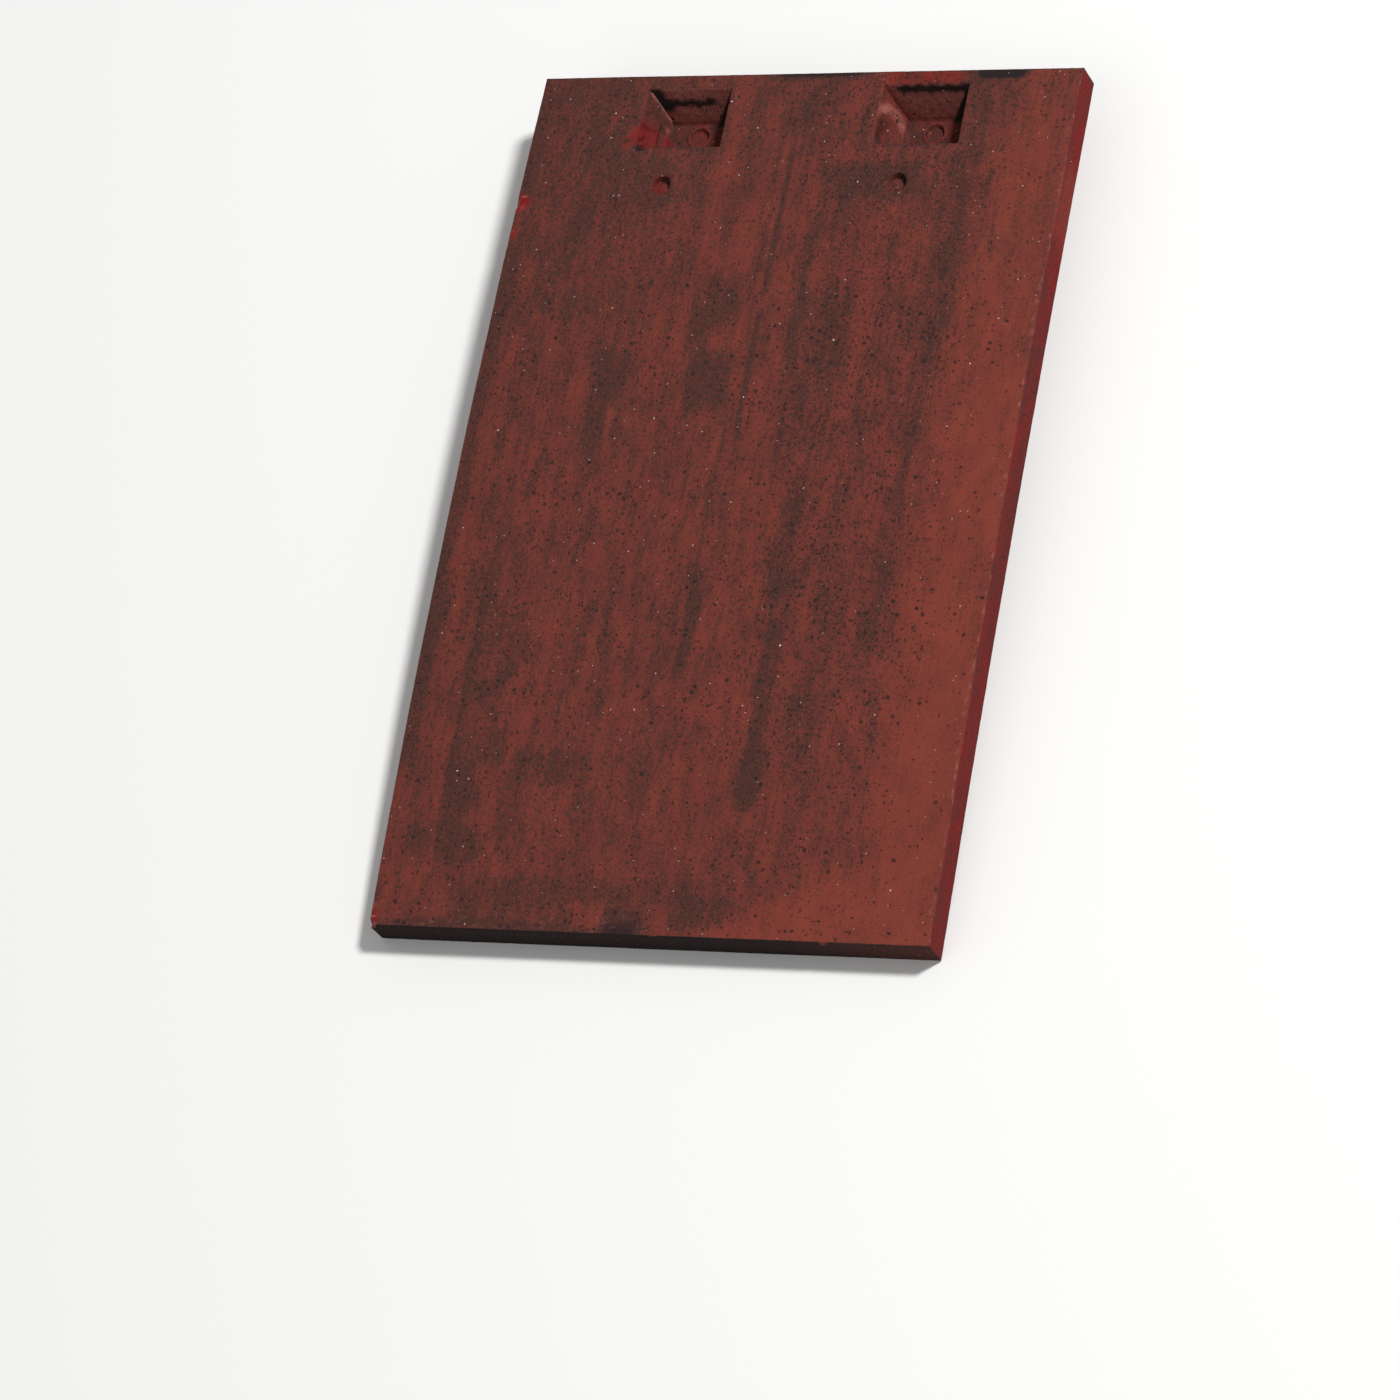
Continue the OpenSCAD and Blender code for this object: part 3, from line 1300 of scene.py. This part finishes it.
def drag_group() -> NodeTree:
    """Make the group for lines dragged along the tile.

    Returns:
        The group: a place goes in, broad and fine streaks come out, each about 0.5 on average.
    """
    tree, wire = new_group("Drag lines", {"Place": VECTOR}, {"Broad": FLOAT, "Fine": FLOAT})
    given = wire.node("NodeGroupInput")
    broad = wire.noise(wire.stretched(given.outputs["Place"], (0.17, 0.014, 0.17)), 1.0, 3.0, 0.6)
    fine = wire.noise(wire.stretched(given.outputs["Place"], (0.60, 0.07, 0.60)), 1.0, 5.0, 0.75)
    result = wire.node("NodeGroupOutput")
    wire.feed(result.inputs["Broad"], wire.between(broad, 0.3, 0.7))
    wire.feed(result.inputs["Fine"], wire.between(fine, 0.3, 0.7))
    return tree


class ClayWiring(Wiring):
    """Wiring of the clay's material, with the painted zones and the noises that its looks share."""

    def __init__(self, tree: NodeTree, scatter: NodeTree, drag: NodeTree) -> None:
        """Read the painted zones and make the noises.

        Args:
            tree: Node tree of the material.
            scatter: Group that scatters grains.
            drag: Group of drag lines.
        """
        super().__init__(tree)
        self.scatter = scatter
        where = self.node("ShaderNodeTexCoord").outputs["Object"]
        self.place = self.stretched(where, (1 / MM, 1 / MM, 1 / MM))
        firing = self.node("ShaderNodeAttribute", attribute_name="firing")
        zones = self.node("ShaderNodeSeparateColor")
        self.feed(zones.inputs[0], firing.outputs["Color"])
        # The smoke zone holds painted shade as well, and the scuff zone painted light.
        self.smoke_zone = zones.outputs[0]
        self.clean_zone = zones.outputs[1]
        self.speck_zone = zones.outputs[2]
        self.bare_zone = firing.outputs["Alpha"]
        self.scuff_zone = self.node("ShaderNodeAttribute", attribute_name="scuff").outputs["Fac"]
        lines = self.node("ShaderNodeGroup", node_tree=drag)
        self.feed(lines.inputs["Place"], self.place)
        self.broad_lines = lines.outputs["Broad"]
        self.fine_lines = lines.outputs["Fine"]
        self.mottle = self.cloud(0.34, 0.24, 6.0, 0.68, 0.33)
        self.blush = self.cloud(0.7, 0.10, 5.0, 0.6, 0.35)
        self.pepper = self.cloud(0.8, 1.3, 2.0, 0.6)
        self.grit = self.cloud(0.8, 2.0, 3.0, 0.7)
        self.grain = self.cloud(1.0, 3.6, 2.0, 0.7)

    def cloud(self, squeeze: float, scale: float, detail: float, rough: float, low: float = 0.3) -> Socket:
        """Add noise drawn out along the tile by the squeeze, mapped so that low is 0 and 1 - low is 1."""
        made = self.noise(self.stretched(self.place, (1.0, squeeze, 1.0)), scale, detail, rough)
        return self.between(made, low, 1 - low)

    def grains(self, spacing: float, share: object, radius: float) -> Socket:
        """Place one scatter of grains.

        Args:
            spacing: Spacing of the grains, in millimetres.
            share: Share of the places that hold a grain.
            radius: Radius of a grain, in millimetres.

        Returns:
            The grains' mask.
        """
        made = self.node("ShaderNodeGroup", node_tree=self.scatter)
        given = {"Place": self.place, "Spacing": spacing, "Share": share, "Radius": radius}
        for name, value in given.items():
            self.feed(made.inputs[name], value)
        return made.outputs["Mask"]


@dataclass(frozen=True)
class FiredClay:
    """Finish of the tile: unglazed red clay, flashed with smoke in the kiln, with shade and light painted
    into some hollows and edges.

    Heights of the bump are in millimetres.
    """

    name: str = "fired_clay"
    deep_red: Colour = display(111, 54, 47)
    orange_red: Colour = display(126, 60, 49)
    bare_red: Colour = display(120, 29, 29)
    # smoke and speck also colour the painted shade, and scuffed the painted light.
    smoke: Colour = display(63, 46, 42)
    speck: Colour = display(44, 36, 36)
    quartz: Colour = display(222, 206, 198)
    scuffed: Colour = display(174, 113, 104)
    roughness_low: float = 0.74
    roughness_high: float = 0.94
    specular: float = 0.03
    wash_strength: float = 0.66
    pepper_strength: float = 0.40
    grain_height: float = 0.018
    grit_height: float = 0.02
    line_height: float = 0.03
    pit_depth: float = 0.12
    quartz_height: float = 0.08

    def material(self, scatter: NodeTree, drag: NodeTree) -> bpy.types.Material:
        """Build the material.

        Args:
            scatter: Group that scatters grains.
            drag: Group of drag lines.

        Returns:
            The material.
        """
        made = bpy.data.materials.new(self.name)
        made.use_nodes = True
        wire = ClayWiring(made.node_tree, scatter, drag)
        smoke = self.smoke_share(wire)
        specks = self.speck_mask(wire, smoke)
        quartz = self.quartz_mask(wire)
        broken = wire.between(wire.grit, 0.15, 0.85, 0.4, 1.2)
        scuff = wire.math("MULTIPLY", wire.scuff_zone, broken, clamp=True)
        colour = wire.mix(scuff, self.clay_colour(wire, smoke), self.scuffed)
        colour = wire.mix(specks, colour, self.speck)
        colour = wire.mix(wire.math("MULTIPLY", quartz, 0.95), colour, self.quartz)
        rough = wire.between(wire.grit, 0.1, 0.9, self.roughness_low, self.roughness_high)
        shader = wire.node("ShaderNodeBsdfPrincipled")
        shader.inputs["Specular IOR Level"].default_value = self.specular
        wire.feed(shader.inputs["Base Color"], colour)
        wire.feed(shader.inputs["Roughness"], rough)
        wire.feed(shader.inputs["Normal"], self.bump(wire, specks, quartz))
        result = wire.node("ShaderNodeOutputMaterial")
        wire.feed(result.inputs["Surface"], shader.outputs["BSDF"])
        return made

    def smoke_share(self, wire: ClayWiring) -> Socket:
        """Break the painted smoke and painted shade up into patches, streaks and a pepper of fine dark
        grains.

        Args:
            wire: Wiring of the material.

        Returns:
            How much smoke and painted shade there is, from 0 to 1.
        """
        patches = wire.math("MULTIPLY", wire.mottle, 0.30)
        for value, strength in ((wire.broad_lines, 0.16), (wire.fine_lines, 0.22), (wire.grit, 0.10)):
            patches = wire.math("MULTIPLY_ADD", value, strength, patches)
        wash = wire.between(wire.math("MULTIPLY_ADD", wire.smoke_zone, 0.85, patches), 0.30, 1.06)
        clean = wire.math("MULTIPLY", wire.clean_zone, 0.13)
        plain = wire.math("MAXIMUM", clean, wire.math("MULTIPLY", wire.bare_zone, 0.3))
        crowd = wire.math("SUBTRACT", wire.math("MULTIPLY", wire.speck_zone, 0.16), plain)
        dense = wire.math("MULTIPLY_ADD", wash, 0.5, crowd)
        pepper = wire.between(wire.math("ADD", wire.pepper, dense), 0.82, 0.93)
        wash = wire.math("MULTIPLY", wash, self.wash_strength)
        return wire.math("ADD", wash, wire.math("MULTIPLY", pepper, self.pepper_strength), clamp=True)

    def speck_mask(self, wire: ClayWiring, smoke: Socket) -> Socket:
        """Scatter dark specks, more of them where there is smoke and painted shade.

        Args:
            wire: Wiring of the material.
            smoke: Share of smoke and painted shade.

        Returns:
            The specks' mask.
        """
        crowd = wire.math("MULTIPLY", wire.speck_zone, 0.7)
        crowd = wire.math("ADD", crowd, wire.math("MULTIPLY", smoke, 0.3))
        pits = wire.grains(1.9, wire.math("MULTIPLY", crowd, 0.9), 0.66)
        dots = wire.grains(1.05, wire.math("MULTIPLY", crowd, 0.6), 0.42)
        pits = wire.math("MAXIMUM", pits, dots)
        blots = wire.noise(wire.stretched(wire.place, (1.0, 0.75, 1.0)), 0.6, 3.0, 0.7)
        start = wire.math("MULTIPLY_ADD", crowd, -0.12, 0.67)
        blots = wire.between(blots, start, wire.math("ADD", start, 0.12))
        return wire.math("MAXIMUM", wire.math("MULTIPLY", pits, 0.9), wire.math("MULTIPLY", blots, 0.6))

    def quartz_mask(self, wire: ClayWiring) -> Socket:
        """Scatter pale grains, dimmed where soot and painted shade make the clay near black, and return
        their mask.
        """
        grains = wire.math("MAXIMUM", wire.grains(2.2, 0.4, 0.20), wire.grains(6.0, 0.4, 0.28))
        return wire.math("MULTIPLY", grains, wire.between(wire.smoke_zone, 0.9, 1.3, 1.0, 0.25))

    def clay_colour(self, wire: ClayWiring, smoke: Socket) -> Socket:
        """Mix the clay's colours, with near black over them where the painted smoke goes past 1: soot, and
        painted shade and shadows.

        Args:
            wire: Wiring of the material.
            smoke: Share of smoke and painted shade.

        Returns:
            The colour.
        """
        warm = wire.math("MULTIPLY_ADD", wire.blush, 0.6, -0.09)
        warm = wire.math("MULTIPLY_ADD", wire.clean_zone, 0.5, warm, clamp=True)
        clay = wire.mix(warm, self.deep_red, self.orange_red)
        clay = wire.mix(wire.bare_zone, clay, self.bare_red)
        clay = wire.mix(wire.math("MULTIPLY", smoke, 0.85, clamp=True), clay, self.smoke)
        clay = wire.mix(wire.between(wire.smoke_zone, 0.95, 1.45), clay, self.speck)
        shade = wire.math("MULTIPLY_ADD", wire.grit, -0.08, 0.92)
        shade = wire.math("MULTIPLY_ADD", wire.grain, 0.24, shade)
        tone = wire.node("ShaderNodeCombineColor")
        for socket in tone.inputs:
            wire.feed(socket, shade)
        return wire.mix(1.0, clay, tone.outputs[0], "MULTIPLY")

    def bump(self, wire: ClayWiring, specks: Socket, quartz: Socket) -> Socket:
        """Give the surface its sandy grain, pits and fine drag lines.

        Args:
            wire: Wiring of the material.
            specks: The specks' mask.
            quartz: The pale grains' mask.

        Returns:
            The bumped normal.
        """
        height = wire.math("MULTIPLY", wire.grain, self.grain_height)
        for value, strength in (
            (wire.grit, self.grit_height),
            (wire.fine_lines, self.line_height),
            (specks, -self.pit_depth),
            (quartz, self.quartz_height),
        ):
            height = wire.math("MULTIPLY_ADD", value, strength, height)
        made = wire.node("ShaderNodeBump")
        made.inputs["Strength"].default_value = 1.0
        made.inputs["Distance"].default_value = MM
        wire.feed(made.inputs["Height"], height)
        return made.outputs["Normal"]


@dataclass(frozen=True)
class PaleFloor:
    """Finish of the floor: pale matt paper."""

    name: str = "pale_floor"
    colour: Colour = (0.86, 0.86, 0.85)
    roughness: float = 0.9
    specular: float = 0.1

    def material(self) -> bpy.types.Material:
        """Build the material.

        Returns:
            The material.
        """
        made = bpy.data.materials.new(self.name)
        made.use_nodes = True
        wire = Wiring(made.node_tree)
        shader = wire.node("ShaderNodeBsdfPrincipled")
        shader.inputs["Base Color"].default_value = (*self.colour, 1.0)
        shader.inputs["Roughness"].default_value = self.roughness
        shader.inputs["Specular IOR Level"].default_value = self.specular
        result = wire.node("ShaderNodeOutputMaterial")
        wire.feed(result.inputs["Surface"], shader.outputs["BSDF"])
        return made


@dataclass
class Studio:
    """The pale floor, the lights and the plain surroundings."""

    floor_size: float = 6.0
    key_from: Triple = (0.55, 0.28, 0.78)
    key_distance: float = 3.2
    key_size: float = 0.42
    key_power: float = 98.0
    fill_from: Triple = (-0.3, -0.7, 0.9)
    fill_distance: float = 2.2
    fill_size: float = 2.0
    fill_power: float = 6.0
    world_strength: float = 0.30

    def build(self) -> None:
        """Make the floor, the lights and the surroundings."""
        bm = bmesh.new()
        bmesh.ops.create_grid(bm, x_segments=1, y_segments=1, size=self.floor_size / 2)
        mesh = bpy.data.meshes.new("floor")
        bm.to_mesh(mesh)
        bm.free()
        mesh.materials.append(PaleFloor().material())
        floor = bpy.data.objects.new("floor", mesh)
        bpy.context.scene.collection.objects.link(floor)
        self.lamp("key_light", self.key_from, self.key_distance, self.key_size, self.key_power)
        self.lamp("fill_light", self.fill_from, self.fill_distance, self.fill_size, self.fill_power)
        world = bpy.data.worlds.new("plain_surroundings")
        world.use_nodes = True
        back = world.node_tree.nodes["Background"]
        back.inputs["Color"].default_value = (1.0, 1.0, 1.0, 1.0)
        back.inputs["Strength"].default_value = self.world_strength
        bpy.context.scene.world = world
        bpy.context.scene.view_settings.view_transform = "Standard"

    def lamp(self, name: str, way: Triple, distance: float, size: float, power: float) -> None:
        """Hang a soft square light that shines at the tile.

        Args:
            name: Name of the light.
            way: Direction from the tile to the light.
            distance: How far away it is.
            size: Length of its sides.
            power: Its power in watts.
        """
        data = bpy.data.lights.new(name, "AREA")
        data.size = size
        data.energy = power
        lamp = bpy.data.objects.new(name, data)
        toward = Vector(way).normalized()
        lamp.location = toward * distance
        lamp.rotation_mode = "QUATERNION"
        lamp.rotation_quaternion = (-toward).to_track_quat("-Z", "Y")
        bpy.context.scene.collection.objects.link(lamp)


@dataclass(frozen=True)
class Viewpoint:
    """The camera, at the photograph's viewing angle."""

    target: Triple = (0.00485, -0.06566, 0.017)
    distance: float = 1.7297
    azimuth: float = 44.963
    elevation: float = 55.718
    roll: float = 38.220
    lens: float = 159.7
    sensor: float = 36.0

    def build(self) -> None:
        """Make the camera and look through it."""
        data = bpy.data.cameras.new("camera")
        data.lens = self.lens
        data.sensor_width = self.sensor
        camera = bpy.data.objects.new("camera", data)
        turn = math.radians(self.azimuth)
        rise = math.radians(self.elevation)
        back = Vector((math.sin(turn) * math.cos(rise), -math.cos(turn) * math.cos(rise), math.sin(rise)))
        camera.location = Vector(self.target) + back * self.distance
        camera.rotation_mode = "QUATERNION"
        level = (-back).to_track_quat("-Z", "Y")
        camera.rotation_quaternion = level @ Quaternion((0, 0, 1), -math.radians(self.roll))
        bpy.context.scene.collection.objects.link(camera)
        bpy.context.scene.camera = camera


def nail_holes(record: dict, plate: Plate) -> list[NailHole]:
    """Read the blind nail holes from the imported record, left one first.

    Args:
        record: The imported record.
        plate: Plate that they are punched into.

    Returns:
        The holes, on the flat tile.
    """
    holes = []
    for mount in record["mounts"]:
        if mount["kind"] == "bore":
            x, y, _ = mount["pos_m"]
            depth = mount["dims"]["length_mm"] * MM
            hub_y = (plate.under_radius - plate.camber) * math.sin(plate.lie) + plate.laid_y
            angle = math.asin((y - hub_y) / (plate.under_radius + plate.thickness - depth / 2)) + plate.lie
            holes.append(NailHole(x, angle * plate.under_radius, mount["dims"]["r_mm"] * MM, depth))
    return sorted(holes, key=lambda hole: hole.x)


def main() -> None:
    """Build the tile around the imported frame, then the floor, lights and camera."""
    logging.basicConfig(level=logging.INFO, format="%(name)s: %(message)s")
    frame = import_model()
    low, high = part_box("tile")
    plate = Plate(width=high.x - low.x)
    tile = RoofTile(plate, nail_holes(frame["record"], plate))
    piece = tile.build()
    piece.data.materials.append(FiredClay().material(scatter_group(), drag_group()))
    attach(piece, "root")
    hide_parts("tile")
    LOG.info("%s: %d vertices, %d faces", piece.name, len(piece.data.vertices), len(piece.data.polygons))
    Studio().build()
    Viewpoint().build()
    LOG.info("floor, lights and camera are in place")
    bpy.context.view_layer.update()


if __name__ == "__main__":
    main()
